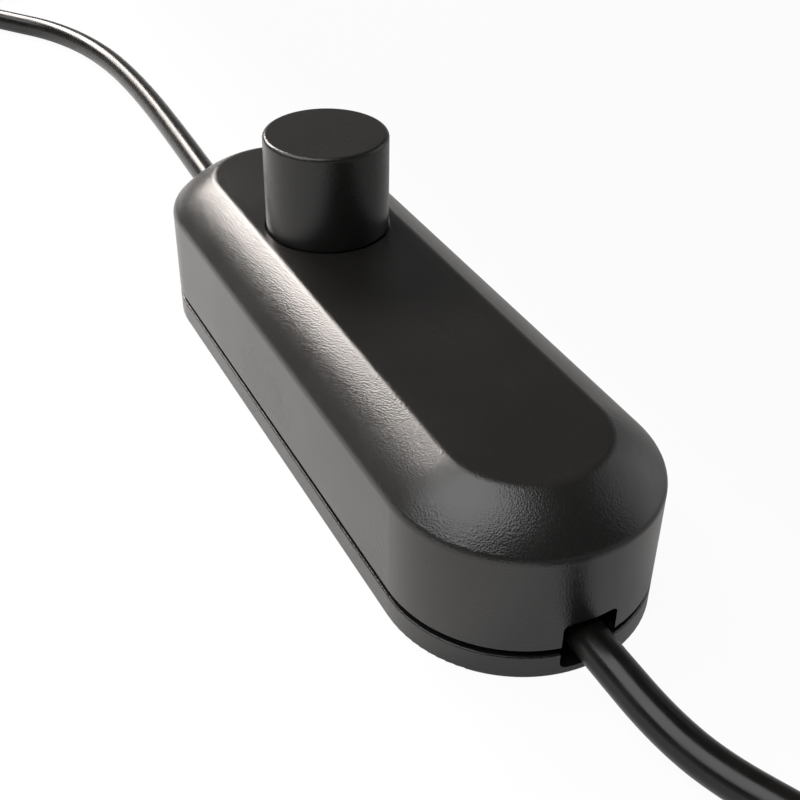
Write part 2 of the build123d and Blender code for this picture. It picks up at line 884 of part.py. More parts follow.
def choke_drum():
    """Ferrite drum of the choke."""
    top = board_top + drum_height
    lower = cylinder(drum_radius, board_top, board_top + drum_flange, choke_x, choke_y)
    upper = cylinder(drum_radius, top - drum_flange, top, choke_x, choke_y)
    return lower + cylinder(drum_waist, board_top, top, choke_x, choke_y) + upper


def choke_winding():
    """Wire wound round the drum's waist, with a ridge for each layer."""
    low = board_top + drum_flange + winding_end_gap
    high = board_top + drum_height - drum_flange - winding_end_gap
    coil = cylinder(winding_radius, low, high, choke_x, choke_y)
    core = cylinder(winding_radius - winding_groove_depth, low, high, choke_x, choke_y)
    pitch = (high - low) / winding_ridges
    half = pitch * winding_groove_share / 2
    for k in range(winding_ridges):
        middle = low + pitch * (k + 0.5)
        groove = cylinder(winding_radius + cutter_over, middle - half, middle + half, choke_x, choke_y)
        coil -= groove - core
    return coil - cylinder(drum_waist + thread_fit, low, high, choke_x, choke_y)


def power_transistor():
    """Flat switching transistor on three legs, against its heat spreader."""
    length, thick, height = transistor_size
    base = board_top + transistor_rise
    middle = spreader_y - thick / 2
    body = block_at(spreader_x, middle, length / 2, thick / 2, base, base + height)
    body = chamfer(body.edges().filter_by(Axis.Z).group_by(Axis.Y)[0], transistor_edge)
    for step in (-leg_pitch, 0, leg_pitch):
        body += block_at(spreader_x + step, middle, leg_width / 2, leg_thick / 2, board_top, base)
    return body


def heat_spreader():
    """Aluminium plate behind the transistor, with a foot bent towards the board's middle."""
    length, thick, height = spreader_size
    start = spreader_x - length / 2
    end = spreader_x + length / 2
    plate = block(start, end, spreader_y, spreader_y + thick, board_top, board_top + height)
    foot_side = spreader_y - spreader_foot
    return plate + block(start, start + spreader_foot, foot_side, spreader_y, board_top, board_top + thick)


def radio_module():
    """Small board soldered on the control board."""
    length, width, height = radio_size
    return block_at(radio_x, 0, length / 2, width / 2, control_top, control_top + height)


def radio_shield():
    """Thin metal can over the radio module's chips."""
    length, width, height = shield_size
    base = control_top + radio_size[2]
    can = block_at(radio_x, shield_shift, length / 2, width / 2, base, base + height)
    can = fillet(can.edges().filter_by(Axis.Z), shield_corner)
    inner_x = length / 2 - shield_wall
    inner_y = width / 2 - shield_wall
    return can - block_at(radio_x, shield_shift, inner_x, inner_y, base, base + height - shield_wall)


def cord_bends(points):
    """As large an arc at each point as its two runs allow."""
    bends = []
    for before, here, after in zip(points, points[1:], points[2:]):
        arriving = Vector(*here) - Vector(*before)
        leaving = Vector(*after) - Vector(*here)
        shorter = min(arriving.length, leaving.length)
        half_turn = radians(arriving.get_angle(leaving)) / 2
        bends.append(arc_share * shorter / tan(half_turn))
    return bends


def cord_tube(name, points):
    """Free stretch of cord; prints its bends and compares its volume with section times length."""
    bends = cord_bends(points)
    solid = tube(points, cord_radius, bends)
    length = FilletPolyline(*points, radius=bends).length
    share = solid.volume / (pi * cord_radius**2 * length)
    print(f"{name}: {length:.1f} mm long, volume {share:.4f} of section times length")
    print("  bend radii, mm:", [round(bend, 1) for bend in bends])
    return solid


def hank_reach(inner, columns):
    """Distance from a hank's centre line to its outside."""
    return inner + (columns - 1) * cord_diameter + cord_radius


def hank_block(near, run, direction, radius):
    """Upright block over a long loop: two straight sides and two round folds."""
    outline = SlotOverall(run + 2 * radius, 2 * radius)
    return extrude(Pos(near[0] + direction * run / 2, near[1], 0) * outline, hank_height)


def hank(near, run, direction, inner, columns, tie_x):
    """Outer shape of a folded length of cord, lying flat, with room for its tie."""
    ring = hank_block(near, run, direction, hank_reach(inner, columns))
    ring = fillet(ring.edges().group_by(Axis.Z)[-1], hank_corner)
    ring = fillet(ring.edges().group_by(Axis.Z)[0], hank_corner)
    ring -= hank_block(near, run, direction, inner - cord_radius)
    return ring - tie_notch(tie_x, near[1], hank_reach(inner, columns))


def tie_band(x, y, reach):
    """Flat band round both sides of a hank."""
    height = hank_height + tie_thick
    outer = Pos(y, height / 2) * RectangleRounded(2 * reach, height, tie_corner)
    band = extrude(Plane.YZ.offset(x - tie_width / 2) * outer, tie_width)
    return band - block_at(x, y, tie_width, reach - tie_thick, tie_thick, hank_height)


def tie_notch(x, y, reach):
    """Room for the band under a hank and at its sides."""
    half = tie_width / 2 + tie_room
    side = reach - tie_thick - tie_room
    slab = block_at(x, y, half, reach + cutter_over, -cutter_over, hank_height + cutter_over)
    return slab - block_at(x, y, half, side, tie_thick + tie_room, hank_height + 2 * cutter_over)


def supply_cord():
    """Supply cord from its clamp to its hank."""
    reach = hank_reach(supply_hank_inner, supply_hank_columns)
    stop = hank_block(supply_hank_near, supply_hank_run, -1, reach)
    return cord_tube("supply cord", supply_route) - stop


def supply_hank():
    """Folded length of the supply cord."""
    return hank(
        supply_hank_near, supply_hank_run, -1, supply_hank_inner, supply_hank_columns, supply_tie_x
    )


def supply_tie():
    """Tie round the supply cord's hank."""
    return tie_band(supply_tie_x, supply_hank_near[1], hank_reach(supply_hank_inner, supply_hank_columns))


def lamp_cord():
    """Lamp cord from its clamp to its hank."""
    reach = hank_reach(lamp_hank_inner, lamp_hank_columns)
    return cord_tube("lamp cord", lamp_route) - hank_block(lamp_hank_near, lamp_hank_run, 1, reach)


def lamp_hank():
    """Folded length of the lamp cord, with its upper turn stripped at the end."""
    loop = hank(lamp_hank_near, lamp_hank_run, 1, lamp_hank_inner, lamp_hank_columns, lamp_tie_x)
    side = lamp_hank_near[1] - lamp_hank_inner
    tips = lamp_sheath_x - bare_core_length - ferrule_length - ferrule_room
    return loop - block(
        tips,
        lamp_sheath_x,
        side - cord_diameter,
        side + cord_diameter,
        cord_diameter,
        hank_height + cutter_over,
    )


def lamp_tie():
    """Tie round the lamp cord's hank."""
    return tie_band(lamp_tie_x, lamp_hank_near[1], hank_reach(lamp_hank_inner, lamp_hank_columns))


def lamp_wires():
    """Two insulated cores out of the lamp cord's stripped end."""
    side = lamp_hank_near[1] - lamp_hank_inner
    sheath_height = cord_diameter + cord_radius
    cores = []
    for way in (-1, 1):
        root = side + way * core_offset
        tip = side + way * ferrule_spread
        points = [
            (lamp_sheath_x, root, sheath_height),
            (lamp_sheath_x - wire_level_run, root, sheath_height),
            (lamp_sheath_x - wire_level_run - wire_spread_run, tip, ferrule_height),
            (lamp_sheath_x - bare_core_length, tip, ferrule_height),
        ]
        cores.append(tube(points, core_radius, cord_bends(points)))
    return Compound(children=cores)


def wire_ferrules():
    """Crimped sleeves on the two cores, each with a collar round the insulation."""
    side = lamp_hank_near[1] - lamp_hank_inner
    shapes = []
    for way in (-1, 1):
        collar = cylinder(ferrule_collar, 0, ferrule_collar_length)
        collar -= cylinder(core_radius + thread_fit, 0, ferrule_collar_length)
        sleeve = cylinder(ferrule_radius, -ferrule_length, 0)
        sleeve = chamfer(sleeve.edges().group_by(Axis.Z)[0], ferrule_edge)
        place = Pos(lamp_sheath_x - bare_core_length, side + way * ferrule_spread, ferrule_height)
        shapes.append(place * Rot(0, 90, 0) * (collar + sleeve))
    return Compound(children=shapes)


def on_hank(piece):
    """Puts a piece of the plug in its place on the hank, with the pins away from the case."""
    neck_tip = supply_tail_route[-1]
    return Pos(neck_tip[0], neck_tip[1], plug_axis_height) * Rot(0, 0, 180) * piece


def along_plug(radius, start, length, y=0.0):
    """Round bar along the plug, which starts at its neck's tip and points along +X."""
    bar = Cylinder(radius, length, align=(Align.CENTER, Align.CENTER, Align.MIN))
    return Pos(start, y, 0) * Rot(0, 90, 0) * bar


def plug_section(x, width, thick):
    """Rounded section across the plug."""
    return Plane.YZ.offset(x) * RectangleRounded(width, thick, plug_corner)


def plug_body():
    """Moulded plug: wide flat face, shoulders that taper to a grooved neck round the cord."""
    wide = plug_section(plug_face_x - plug_face_length, plug_width, plug_thick)
    face = extrude(wide, plug_face_length)
    face = fillet(face.edges().group_by(Axis.X)[-1], plug_face_round)
    body = face + loft([plug_section(neck_length, plug_back_width, plug_back_thick), wide])
    upright = (Align.CENTER, Align.CENTER, Align.MIN)
    neck = Rot(0, 90, 0) * Cone(neck_tip_radius, neck_back_radius, neck_length, align=upright)
    slope = (neck_back_radius - neck_tip_radius) / neck_length
    for k in range(neck_grooves):
        along = neck_groove_pitch * (k + 1)
        start = along - neck_groove_width / 2
        bottom = neck_tip_radius + slope * along - neck_groove_depth
        ring = along_plug(neck_back_radius + cutter_over, start, neck_groove_width)
        neck -= ring - along_plug(bottom, start, neck_groove_width)
    body += neck
    for y in (-pin_spacing / 2, pin_spacing / 2):
        body -= along_plug(sleeve_radius + thread_fit, plug_face_x - pin_root, pin_root, y)
    return on_hank(body)


def plug_pins():
    """Two round pins with bare tips."""
    pins = []
    for y in (-pin_spacing / 2, pin_spacing / 2):
        tip = along_plug(pin_radius, plug_face_x + sleeve_length, pin_length - sleeve_length, y)
        tip = fillet(tip.edges().group_by(Axis.X)[-1], pin_tip_round)
        rod = along_plug(pin_waist, plug_face_x - pin_root, pin_root + sleeve_length, y)
        pins.append(on_hank(tip + rod))
    return Compound(children=pins)


def pin_sleeves():
    """Insulating sleeves round the roots of the pins."""
    sleeves = []
    length = pin_root + sleeve_length
    for y in (-pin_spacing / 2, pin_spacing / 2):
        sleeve = along_plug(sleeve_radius, plug_face_x - pin_root, length, y)
        sleeve -= along_plug(pin_waist + thread_fit, plug_face_x - pin_root, length, y)
        sleeves.append(on_hank(sleeve))
    return Compound(children=sleeves)


def main():
    os.makedirs("parts", exist_ok=True)
    nodes = {
        "upper_housing": upper_housing(),
        "lower_cover": lower_cover(),
        "case_screws": case_screws(),
        "knob": knob(),
        "encoder_body": encoder_body(),
        "encoder_bushing": encoder_bushing(),
        "encoder_washer": encoder_washer(),
        "encoder_nut": encoder_nut(),
        "encoder_shaft": encoder_shaft(),
        "switch_plunger": switch_plunger(),
        "switch_dome": switch_dome(),
        "control_board": control_board(),
        "board_spacers": board_spacers(),
        "header_pins": header_pins(),
        "header_strip": header_strip(),
        "radio_module": radio_module(),
        "radio_shield": radio_shield(),
        "power_board": power_board(),
        "board_screws": board_screws(),
        "supply_terminal": terminal_block(-1),
        "lamp_terminal": terminal_block(1),
        "terminal_screws": terminal_screws(),
        "fuse": fuse(),
        "varistor": varistor(),
        "film_capacitor": standing_block(film_x, film_y, film_size),
        "electrolytic_capacitor": electrolytic_capacitor(),
        "choke_drum": choke_drum(),
        "choke_winding": choke_winding(),
        "power_transistor": power_transistor(),
        "heat_spreader": heat_spreader(),
        "power_module": standing_block(encoder_x - module_back, 0, module_size),
        "supply_cord_clamp": cord_clamp(-1),
        "lamp_cord_clamp": cord_clamp(1),
        "clamp_screws": clamp_screws(),
        "supply_cores": stripped_cores(-1),
        "lamp_cores": stripped_cores(1),
        "supply_cord": supply_cord(),
        "supply_cord_hank": supply_hank(),
        "supply_cord_tail": cord_tube("supply cord's tail", supply_tail_route),
        "supply_cord_tie": supply_tie(),
        "plug_body": plug_body(),
        "plug_pins": plug_pins(),
        "pin_sleeves": pin_sleeves(),
        "lamp_cord": lamp_cord(),
        "lamp_cord_hank": lamp_hank(),
        "lamp_cord_tie": lamp_tie(),
        "lamp_wires": lamp_wires(),
        "wire_ferrules": wire_ferrules(),
    }
    for node, shape in nodes.items():
        export_step(shape, f"parts/{node}.step")


if __name__ == "__main__":
    main()
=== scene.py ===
from math import cos, pi, radians, sin

import bmesh
import bpy
from bpy.props import FloatProperty, FloatVectorProperty, IntProperty, PointerProperty
from mathutils import Matrix, Vector


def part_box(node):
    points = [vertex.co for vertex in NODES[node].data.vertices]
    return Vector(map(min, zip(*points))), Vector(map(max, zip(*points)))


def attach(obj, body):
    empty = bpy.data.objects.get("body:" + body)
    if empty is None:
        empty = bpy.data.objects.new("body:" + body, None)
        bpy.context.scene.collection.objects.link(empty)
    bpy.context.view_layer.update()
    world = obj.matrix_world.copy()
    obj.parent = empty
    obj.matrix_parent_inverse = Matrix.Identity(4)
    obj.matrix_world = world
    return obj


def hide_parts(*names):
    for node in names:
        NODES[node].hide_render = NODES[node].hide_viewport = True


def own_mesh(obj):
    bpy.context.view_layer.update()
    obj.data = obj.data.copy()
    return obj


bl_info = {
    "name": "In-line lamp dimmer",
    "version": (1, 0, 0),
    "blender": (4, 5, 0),
    "location": "3D View > Sidebar > Dimmer",
    "description": "Dresses the packed dimmer: its case, knob, leads, plug and stage",
    "category": "Object",
}

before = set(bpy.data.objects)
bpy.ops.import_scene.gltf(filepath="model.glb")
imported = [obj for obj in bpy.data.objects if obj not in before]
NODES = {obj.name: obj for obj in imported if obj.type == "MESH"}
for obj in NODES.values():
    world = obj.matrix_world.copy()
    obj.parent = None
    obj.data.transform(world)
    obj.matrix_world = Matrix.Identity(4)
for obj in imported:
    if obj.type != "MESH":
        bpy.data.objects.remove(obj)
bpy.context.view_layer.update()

# The camera, fitted to the photograph's edges: metres, radians, and millimetres for its lens
CAMERA_PLACE = Vector((-0.153704, 0.075626, 0.127015))
CAMERA_YAW = radians(-27.224)
CAMERA_PITCH = radians(35.823)
CAMERA_ROLL = radians(1.002)
CAMERA_LENS = 55.98
SENSOR_WIDTH = 36

# The leads' routes, in metres, from inside the case outwards, and from the hank to the plug
SUPPLY_ROUTE = [
    (-0.049, 0, 0.0053),
    (-0.058, 0, 0.0053),
    (-0.0685, 0, 0.00525),
    (-0.0775, -0.00095, 0.0039),
    (-0.0855, -0.00325, 0.00275),
    (-0.095, -0.0076, 0.00275),
    (-0.1045, -0.0126, 0.00275),
    (-0.114, -0.0169, 0.00275),
    (-0.124, -0.0197, 0.00275),
]
SUPPLY_TAIL_ROUTE = [
    (-0.133, 0.0235, 0.0138),
    (-0.122, 0.0235, 0.0138),
    (-0.1127, 0.0176, 0.0138),
    (-0.108, 0.0076, 0.0138),
    (-0.1094, -0.0034, 0.0138),
    (-0.1164, -0.0119, 0.0138),
    (-0.127, -0.0153, 0.0139),
    (-0.1376, -0.0125, 0.0147),
    (-0.145, -0.0046, 0.0163),
    (-0.1545, -0.0005, 0.01785),
    (-0.163, -0.0005, 0.01785),
]
LAMP_ROUTE = [
    (0.049, 0, 0.0053),
    (0.058, 0, 0.0053),
    (0.069, -0.0002, 0.005),
    (0.08, -0.0013, 0.0032),
    (0.093, -0.0023, 0.00275),
    (0.116, -0.0033, 0.00275),
    (0.141, -0.00405, 0.00275),
    (0.159, -0.0038, 0.00275),
    (0.173, -0.0028, 0.00275),
    (0.185, -0.0008, 0.00275),
    (0.196, 0.0025, 0.00275),
    (0.206, 0.0072, 0.00275),
    (0.215, 0.0138, 0.00275),
    (0.224, 0.0202, 0.00275),
    (0.2345, 0.0237, 0.00275),
    (0.2455, 0.0234, 0.00275),
    (0.256, 0.0215, 0.00275),
]

# The folded lengths of lead: middle of each round fold, and the radii of the columns of turns
SUPPLY_FOLDS = (Vector((-0.2, 0.0015, 0)), Vector((-0.128, 0.0015, 0)))
LAMP_FOLDS = (Vector((0.2668, 0.0035, 0)), Vector((0.2998, 0.0035, 0)))
INNER_COLUMN = 0.0165
OUTER_COLUMN = 0.022
LAMP_COLUMN = 0.017

# Control points round a fold: how many steps, and their angle in degrees
FOLD_STEPS = 11
FOLD_STEP = 18

# Share of a fold in which the lead moves over to its next column or layer of turns
CHANGE_SHARE = 0.95
LAST_CHANGE_SHARE = 0.75

# The straps round the hanks: their places, their section and the rounding at their corners
SUPPLY_TIE_X = -0.158
LAMP_TIE_X = 0.295
TIE_THICK = 0.0008
TIE_WIDTH = 0.004
TIE_CORNER = 0.0026

# How far a strap draws the lead in and lifts it
TIE_PINCH = 1.07 * TIE_THICK

# Places along the hanks' straight sides, and where the lamp lead's sheath is stripped
SUPPLY_SIDE = (-0.143, SUPPLY_TIE_X, -0.176)
LAMP_FAR_SIDE_X = 0.282
LAMP_NEAR_SIDE_X = 0.283
LAMP_SHEATH_X = 0.2905

# Blender's wave texture repeats at this length when its scale is 1
WAVE_LENGTH = 2 * pi / 20

# The paper's tone runs between two values over these places in Y, as painted shade darker towards
# -Y: the case's -Y side mirrors a darker ground in the photograph
PAPER_SHADE_EDGES = (-0.05, 0.0)
PAPER_SHADE_TONES = (0.3, 0.85)

# Share of plain white in the paper, as the camera sees it and as gloss mirrors it
PAPER_WHITE_SEEN = 0.95
PAPER_WHITE_MIRRORED = 0.35

# The studio round the floor: heights, from 0 at the horizon to 1 overhead, and their light
STUDIO_LIGHT = ((0.02, 0.5), (0.4, 0.08))


def linear(code):
    """Linear colour of an sRGB hex code."""
    values = [int(code[k : k + 2], 16) / 255 for k in (1, 3, 5)]
    return tuple(v / 12.92 if v <= 0.04045 else ((v + 0.055) / 1.055) ** 2.4 for v in values)


class StageSettings(bpy.types.PropertyGroup):
    floor_size: FloatProperty(
        name="Floor size", description="Side of the square floor", default=12.0, unit="LENGTH"
    )
    back_light: FloatProperty(
        name="Back light",
        description="Power of the soft box behind the case, in watts",
        default=13.5,
    )
    top_light: FloatProperty(
        name="Top light",
        description="Power of the wide soft box overhead, in watts",
        default=19.0,
    )
    side_light: FloatProperty(
        name="Side light",
        description="Power of the soft box at the camera's right, in watts",
        default=2.2,
    )


class LeadSettings(bpy.types.PropertyGroup):
    diameter: FloatProperty(
        name="Diameter",
        description="Outer diameter of the lead's sheath",
        default=0.0055,
        unit="LENGTH",
    )
    supply_length: FloatProperty(
        name="Supply length",
        description="Real length of the lead with the plug",
        default=1.18,
        unit="LENGTH",
    )
    lamp_length: FloatProperty(
        name="Lamp length",
        description="Real length of the lead to the lamp",
        default=0.5,
        unit="LENGTH",
    )
    round_faces: IntProperty(
        name="Round faces",
        description="Steps round half of the sheath's section",
        default=10,
        min=3,
    )


class FinishSettings(bpy.types.PropertyGroup):
    case_colour: FloatVectorProperty(
        name="Case",
        description="Moulded plastic of the case",
        subtype="COLOR",
        default=linear("#1b1a19"),
    )
    knob_colour: FloatVectorProperty(
        name="Knob",
        description="Moulded plastic of the knob",
        subtype="COLOR",
        default=linear("#191817"),
    )
    sheath_colour: FloatVectorProperty(
        name="Sheath",
        description="Soft PVC of the leads",
        subtype="COLOR",
        default=linear("#131211"),
    )
    # The photograph's speckle is about 0.15 mm wide, too fine to show in a render, so the pits are
    # as coarse as they need to be
    grain: FloatProperty(
        name="Grain",
        description="Width of a pit in the eroded mould's surface",
        default=0.00026,
        unit="LENGTH",
    )


def add_node(tree, kind, values=None, links=None, **settings):
    """Adds a node, sets its fields and inputs, and links other nodes' outputs to its inputs."""
    node = tree.nodes.new(kind)
    for field, value in settings.items():
        setattr(node, field, value)
    for socket, value in (values or {}).items():
        node.inputs[socket].default_value = value
    for socket, source in (links or {}).items():
        tree.links.new(source, node.inputs[socket])
    return node


def empty_tree(owner):
    """Node tree of a material or a world, with nothing in it."""
    owner.use_nodes = True
    owner.node_tree.nodes.clear()
    return owner.node_tree


def new_material(name):
    """Material with its shader and object coordinates."""
    material = bpy.data.materials.new(name)
    tree = empty_tree(material)
    shader = add_node(tree, "ShaderNodeBsdfPrincipled")
    add_node(tree, "ShaderNodeOutputMaterial", links={"Surface": shader.outputs[0]})
    place = add_node(tree, "ShaderNodeTexCoord").outputs["Object"]
    return material, tree, shader, place


def show_patterns(tree, shader, colour, relief, gloss=None, limits=(0.35, 0.65)):
    """Shows patterns on a surface.

    colour is a pattern and its two tones, which run into each other between the limits. relief is
    a pattern and its depth in metres. gloss is a pattern and its two roughnesses.
    """
    pattern, dark, light = colour
    ramp = add_node(tree, "ShaderNodeValToRGB", links={"Fac": pattern})
    for element, position, tone in zip(ramp.color_ramp.elements, limits, (dark, light)):
        element.position = position
        element.color = (*tone, 1)
    tree.links.new(ramp.outputs["Color"], shader.inputs["Base Color"])
    pattern, depth = relief
    raised = add_node(tree, "ShaderNodeBump", {"Distance": depth}, {"Height": pattern})
    tree.links.new(raised.outputs["Normal"], shader.inputs["Normal"])
    if gloss:
        # Noise seldom leaves the range from 0.3 to 0.7
        pattern, smooth, rough = gloss
        ends = {"From Min": 0.3, "From Max": 0.7, "To Min": smooth, "To Max": rough}
        spread = add_node(tree, "ShaderNodeMapRange", ends, {"Value": pattern})
        tree.links.new(spread.outputs["Result"], shader.inputs["Roughness"])


def shade(tone, share):
    """A colour made lighter or darker."""
    return tuple(min(1.0, channel * share) for channel in tone)


def eroded_plastic(name, tone, grain, roughness=0.25, ior=1.54, depth=0.00003):
    """ABS moulded in a spark-eroded tool: fine even pits that break up every highlight."""
    material, tree, shader, place = new_material(name)
    pits = add_node(
        tree, "ShaderNodeTexVoronoi", {"Scale": 1 / grain}, {"Vector": place}
    ).outputs["Distance"]
    cloud = add_node(
        tree, "ShaderNodeTexNoise", {"Scale": 1 / 0.02, "Detail": 4.0}, {"Vector": place}
    ).outputs["Fac"]
    show_patterns(
        tree,
        shader,
        colour=(pits, shade(tone, 0.7), shade(tone, 1.3)),
        relief=(pits, depth),
        gloss=(cloud, roughness - 0.03, roughness + 0.04),
        limits=(0.1, 0.8),
    )
    shader.inputs["IOR"].default_value = ior
    return material


def soft_pvc(name, tone, roughness=0.24):
    """Plasticised PVC, extruded: half gloss, with cloudy bloom and a faint skin."""
    material, tree, shader, place = new_material(name)
    bloom = add_node(
        tree, "ShaderNodeTexNoise", {"Scale": 1 / 0.004, "Detail": 3.0}, {"Vector": place}
    ).outputs["Fac"]
    skin = add_node(
        tree, "ShaderNodeTexNoise", {"Scale": 1 / 0.0004, "Detail": 2.0}, {"Vector": place}
    ).outputs["Fac"]
    show_patterns(
        tree,
        shader,
        colour=(bloom, shade(tone, 0.85), shade(tone, 1.2)),
        relief=(skin, 0.000005),
        gloss=(bloom, roughness - 0.04, roughness + 0.05),
    )
    shader.inputs["IOR"].default_value = 1.42
    return material


def plain_moulding(name, tone, roughness, grain=0.0006):
    """Moulded or dipped resin of an inner part: even colour, slight orange peel."""
    material, tree, shader, place = new_material(name)
    peel = add_node(
        tree, "ShaderNodeTexNoise", {"Scale": 1 / grain, "Detail": 3.0}, {"Vector": place}
    ).outputs["Fac"]
    show_patterns(
        tree,
        shader,
        colour=(peel, shade(tone, 0.88), shade(tone, 1.12)),
        relief=(peel, 0.00002),
        gloss=(peel, roughness - 0.05, roughness + 0.05),
    )
    return material


def core_pair(name, node):
    """PVC insulation of a lead's two cores: brown and blue, parted at the node's middle."""
    material, tree, shader, place = new_material(name)
    low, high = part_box(node)
    across = add_node(tree, "ShaderNodeSeparateXYZ", links={0: place}).outputs["Y"]
    side = add_node(
        tree,
        "ShaderNodeMath",
        {1: (low.y + high.y) / 2},
        {0: across},
        operation="GREATER_THAN",
    ).outputs[0]
    peel = add_node(
        tree, "ShaderNodeTexNoise", {"Scale": 1 / 0.0005, "Detail": 2.0}, {"Vector": place}
    ).outputs["Fac"]
    show_patterns(
        tree,
        shader,
        colour=(side, linear("#5b3a26"), linear("#2c4a86")),
        relief=(peel, 0.00001),
        gloss=(peel, 0.3, 0.4),
        limits=(0.4, 0.6),
    )
    return material


def plated_metal(name, tone, roughness):
    """Plated or rolled metal: bright, with fine lines that stretch the highlight.

    The lines are 1.5 mm long and 0.125 mm apart up the part, coarser than real ones so that they
    show.
    """
    material, tree, shader, place = new_material(name)
    stretched = add_node(
        tree, "ShaderNodeMapping", {"Scale": (1.0, 1.0, 12.0)}, {"Vector": place}
    ).outputs[0]
    lines = add_node(
        tree, "ShaderNodeTexNoise", {"Scale": 1 / 0.0015, "Detail": 4.0}, {"Vector": stretched}
    ).outputs["Fac"]
    show_patterns(
        tree,
        shader,
        colour=(lines, shade(tone, 0.9), shade(tone, 1.05)),
        relief=(lines, 0.000006),
        gloss=(lines, roughness - 0.06, roughness + 0.08),
    )
    shader.inputs["Metallic"].default_value = 1.0
    return material


def woven_strap(name, tone):
    """Woven nylon strap: crossing threads, 0.8 and 1 mm apart, coarse enough to show."""
    material, tree, shader, place = new_material(name)
    threads = [
        add_node(
            tree,
            "ShaderNodeTexWave",
            {"Scale": WAVE_LENGTH / gap, "Distortion": 0.4},
            {"Vector": place},
            bands_direction=direction,
        ).outputs["Fac"]
        for direction, gap in (("X", 0.00079), ("Y", 0.00099))
    ]
    weave = add_node(
        tree, "ShaderNodeMath", links=dict(enumerate(threads)), operation="MULTIPLY"
    ).outputs[0]
    show_patterns(
        tree,
        shader,
        colour=(weave, shade(tone, 0.6), shade(tone, 1.6)),
        relief=(weave, 0.00008),
        limits=(0.1, 0.9),
    )
    shader.inputs["Roughness"].default_value = 0.75
    return material


def laminate(name, tone):
    """Glass-fibre board under solder resist: a faint square weave below a half-gloss lacquer."""
    material, tree, shader, place = new_material(name)
    weave = add_node(
        tree, "ShaderNodeTexBrick", {"Scale": 1 / 0.004}, {"Vector": place}, offset=0.0
    ).outputs["Fac"]
    cloud = add_node(
        tree, "ShaderNodeTexNoise", {"Scale": 1 / 0.002, "Detail": 3.0}, {"Vector": place}
    ).outputs["Fac"]
    mixed = add_node(
        tree, "ShaderNodeMath", links={0: weave, 1: cloud}, operation="ADD"
    ).outputs[0]
    show_patterns(
        tree,
        shader,
        colour=(mixed, shade(tone, 0.8), shade(tone, 1.3)),
        relief=(cloud, 0.00001),
        limits=(0.3, 1.0),
    )
    shader.inputs["Roughness"].default_value = 0.32
    return material


def wound_wire(name, tone):
    """Enamelled copper wire laid turn on turn: rings 0.8 mm apart up the winding, with painted
    shade in the grooves between the turns.
    """
    material, tree, shader, place = new_material(name)
    rings = add_node(
        tree,
        "ShaderNodeTexWave",
        {"Scale": WAVE_LENGTH / 0.00079, "Distortion": 0.2},
        {"Vector": place},
        bands_direction="Z",
    ).outputs["Fac"]
    show_patterns(
        tree,
        shader,
        # Painted shade: the colour is darker in the grooves between the turns, where the relief
        # sinks
        colour=(rings, shade(tone, 0.45), tone),
        relief=(rings, 0.00015),
        limits=(0.1, 0.7),
    )
    shader.inputs["Metallic"].default_value = 1.0
    shader.inputs["Roughness"].default_value = 0.3
    return material


def dress(material, *names):
    """Gives CAD nodes a material."""
    for name in names:
        data = NODES[name].data
        data.materials.clear()
        data.materials.append(material)


def new_piece(name, mesh, material, node):
    """Puts a finished bmesh in the scene as a piece of the housing that stands for a CAD node."""
    data = bpy.data.meshes.new(name)
    mesh.to_mesh(data)
    mesh.free()
    piece = bpy.data.objects.new(name, data)
    bpy.context.scene.collection.objects.link(piece)
    data.materials.append(material)
    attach(piece, "housing")
    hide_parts(node)
    return piece


def ease(share):
    """Smooth way from 0 to 1."""
    share = min(1.0, share)
    return share * share * (3 - 2 * share)


def fold_points(centre, way, radius_at, height_at):
    """Control points round one end of a hank, clockwise from above; way is 1 at the +X end."""
    # The spline runs inside its control points, so they lie on the corners round the fold
    points = []
    for k in range(FOLD_STEPS + 1):
        corner = radius_at(k / FOLD_STEPS) / cos(radians(FOLD_STEP / 2))
        turn = radians(FOLD_STEP * (FOLD_STEPS / 2 - k))
        place = (centre.x + way * corner * cos(turn), centre.y + way * corner * sin(turn))
        points.append((*place, height_at(k / FOLD_STEPS)))
    return points


def side_points(places, y, height, tie_x, inward):
    """Control points along one side of a hank, drawn in and lifted where the strap goes round.

    inward is the way to the hank's middle in Y, 1 or -1.
    """
    points = []
    for x in places:
        drawn = TIE_PINCH if x == tie_x else 0
        points.append((x, y + inward * drawn, height + drawn))
    return points


def supply_hank(radius):
    """The supply lead's turns: in at the floor, inwards, up over themselves and outwards again."""
    left, right = SUPPLY_FOLDS
    low, high = radius, 3 * radius

    def once(column, height):
        """One side, the far fold and the other side at one place in the pile."""
        points = side_points(SUPPLY_SIDE, left.y - column, height, SUPPLY_TIE_X, 1)
        points += fold_points(left, -1, lambda t: column, lambda t: height)
        return points + side_points(
            reversed(SUPPLY_SIDE), left.y + column, height, SUPPLY_TIE_X, -1
        )

    points = once(OUTER_COLUMN, low)
    points += fold_points(
        right,
        1,
        lambda t: INNER_COLUMN + 2 * radius * cos(pi / 2 * ease(t / CHANGE_SHARE)),
        lambda t: low,
    )
    points += once(INNER_COLUMN, low)
    points += fold_points(
        right,
        1,
        lambda t: INNER_COLUMN,
        lambda t: low + 2 * radius * sin(pi / 2 * ease(t / CHANGE_SHARE)),
    )
    points += once(INNER_COLUMN, high)
    points += fold_points(
        right,
        1,
        lambda t: INNER_COLUMN + 2 * radius * ease(t / LAST_CHANGE_SHARE),
        lambda t: high,
    )
    return points + once(OUTER_COLUMN, high)


